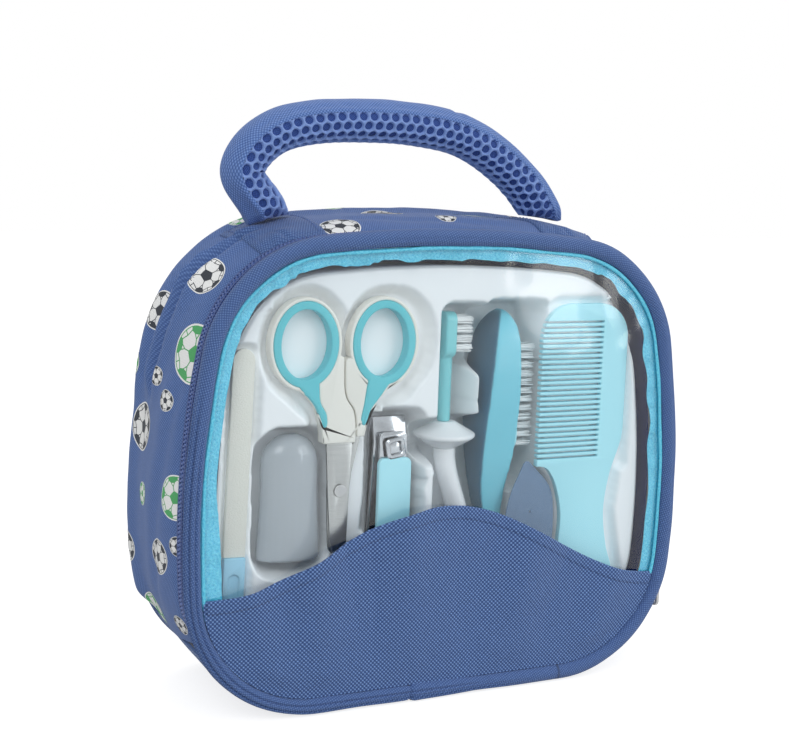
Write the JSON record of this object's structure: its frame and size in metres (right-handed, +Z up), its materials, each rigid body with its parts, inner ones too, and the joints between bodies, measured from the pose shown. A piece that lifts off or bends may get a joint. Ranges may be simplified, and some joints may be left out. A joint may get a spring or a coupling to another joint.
{
  "type": "manicure set case",
  "caption": "Soft zipped case with a clear front cover, padded handle and printed sides, holding a moulded tray of grooming tools.",
  "frame": {"origin": "Under the middle of the case, on the plane it stands on.", "axes": "+Z up, X along the width with the file on the low side, -Y is the clear front."},
  "size_m": [0.2064, 0.068, 0.2175],
  "materials": {
    "oxford_blue": "woven polyester oxford cloth, royal blue",
    "printed_blue": null,
    "air_mesh": "knitted spacer mesh with round holes",
    "lining": "thin navy lining cloth",
    "foam": "soft polyurethane foam",
    "board": "stiffening board",
    "zip_tape": "woven zip tape",
    "zip_coil": "nylon coil",
    "zip_metal": "nickel-plated zinc",
    "clear_film": "clear flexible PVC film",
    "satin": "turquoise satin binding",
    "tray_white": "thermoformed white sheet",
    "file_ivory": "coated emery surface",
    "file_blue": "moulded plastic",
    "silicone_grey": "translucent silicone",
    "scissor_white": "moulded plastic",
    "scissor_turquoise": "soft moulded inlay",
    "blade_steel": "ground stainless steel",
    "clipper_chrome": "chrome-plated steel",
    "pale_turquoise": "moulded plastic",
    "turquoise": "moulded plastic",
    "brush_white": "moulded plastic",
    "bristle": "nylon bristles"
  },
  "bodies": {
    "case": {"back_panel": "oxford_blue", "back_board": "board", "back_lining": "lining", "bottom_panel": "oxford_blue", "bottom_board": "board", "printed_band": "printed_blue", "band_foam": "foam", "band_lining": "lining", "rear_piping": "oxford_blue", "zip_tape_rear": "zip_tape", "zip_coil_rear": "zip_coil", "handle_tab_left": "oxford_blue", "handle_tab_right": "oxford_blue", "tray": "tray_white", "file_blade": "file_ivory", "file_grip": "file_blue", "finger_brush": "silicone_grey", "scissor_blade_left": "blade_steel", "scissor_shell_left": "scissor_white", "scissor_ring_left": "scissor_turquoise", "scissor_rivet": "blade_steel", "clipper_jaw_upper": "clipper_chrome", "clipper_jaw_lower": "clipper_chrome", "clipper_pin": "clipper_chrome", "toothbrush_grip": "brush_white", "toothbrush_guard": "brush_white", "toothbrush_neck": "turquoise", "toothbrush_bristles": "bristle", "hairbrush_body": "turquoise", "hairbrush_pad": "pale_turquoise", "hairbrush_bristles": "bristle", "comb": "pale_turquoise"},
    "front_cover": {"front_piping": "oxford_blue", "window": "clear_film", "window_binding": "satin", "pocket_panel": "oxford_blue", "pocket_hem": "oxford_blue", "zip_tape_front": "zip_tape", "zip_coil_front": "zip_coil"},
    "zip_slider": {"zip_slider": "zip_metal"},
    "zip_pull": {"zip_pull": "zip_metal"},
    "handle": {"handle_cover": "oxford_blue", "handle_mesh": "air_mesh", "handle_foam": "foam"},
    "scissor_half": {"scissor_blade_right": "blade_steel", "scissor_shell_right": "scissor_white", "scissor_ring_right": "scissor_turquoise"},
    "clipper_lever": {"clipper_lever": "clipper_chrome", "clipper_cover": "pale_turquoise"}
  },
  "joints": [
    {"name": "cover_open", "type": "hinge", "parent": "case", "child": "front_cover", "pos_m": [0, -0.0309, 0.0031], "axis": [1, 0, 0], "range_deg": [0, 90]},
    {"name": "handle_swing", "type": "hinge", "parent": "case", "child": "handle", "pos_m": [0, 0, 0.18446], "axis": [1, 0, 0], "range_deg": [-60, 60]},
    {"name": "zip_run", "type": "hinge", "parent": "case", "child": "zip_slider", "pos_m": [-0.23, -0.025, 0.068], "axis": [0, -1, 0], "range_deg": [0, 12.5]},
    {"name": "pull_swing", "type": "hinge", "parent": "zip_slider", "child": "zip_pull", "pos_m": [0.09896, -0.025, 0.05], "axis": [0, -1, 0], "range_deg": [0, 150]},
    {"name": "scissor_open", "type": "hinge", "parent": "case", "child": "scissor_half", "pos_m": [-0.04, -0.0228, 0.079], "axis": [0, 1, 0], "range_deg": [0, 3]},
    {"name": "lever_lift", "type": "hinge", "parent": "case", "child": "clipper_lever", "pos_m": [-0.0186, -0.0217, 0.093], "axis": [-1, 0, 0], "range_deg": [0, 4]}
  ]
}
